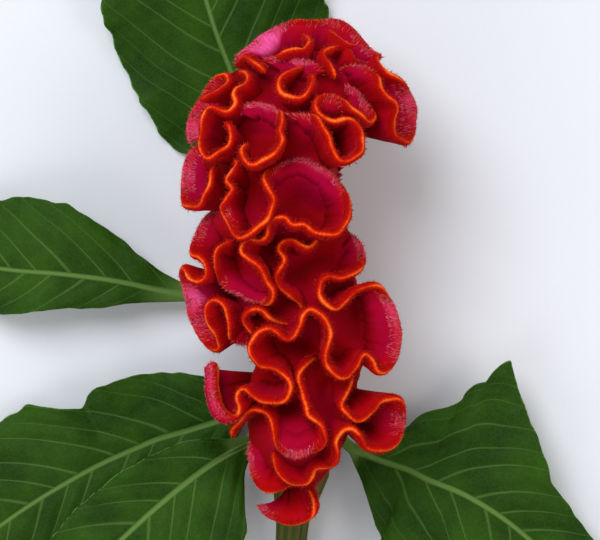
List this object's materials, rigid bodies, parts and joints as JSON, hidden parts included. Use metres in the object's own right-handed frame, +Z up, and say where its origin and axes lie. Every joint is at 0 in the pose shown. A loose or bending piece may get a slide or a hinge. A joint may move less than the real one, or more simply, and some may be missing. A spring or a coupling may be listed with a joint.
{
  "type": "cockscomb flower",
  "caption": "Cut cockscomb bloom lying on its back: a crested velvety head of ruffled trumpet folds on a short stem with broad waved leaves.",
  "frame": {"origin": "on the flat underside of the stem, under the middle of the head, on the surface that the cut bloom lies on", "axes": "+Y along the stem towards the top of the head, +Z up away from the surface, +X to the right as seen from above"},
  "size_m": [0.1972, 0.2433, 0.0569],
  "materials": {
    "petal_velvet": "velvety crimson tissue with orange growing edges and fine bract hairs",
    "stem_green": "ribbed, slightly waxy fresh stem",
    "leaf_green": "satin leaf skin with paler midrib and side veins"
  },
  "bodies": {
    "root": {"crest": "petal_velvet", "stem": "stem_green", "leaf_upper_left": "leaf_green", "leaf_left": "leaf_green", "leaf_lower_left_outer": "leaf_green", "leaf_lower_left_inner": "leaf_green", "leaf_lower_right": "leaf_green"}
  },
  "joints": []
}
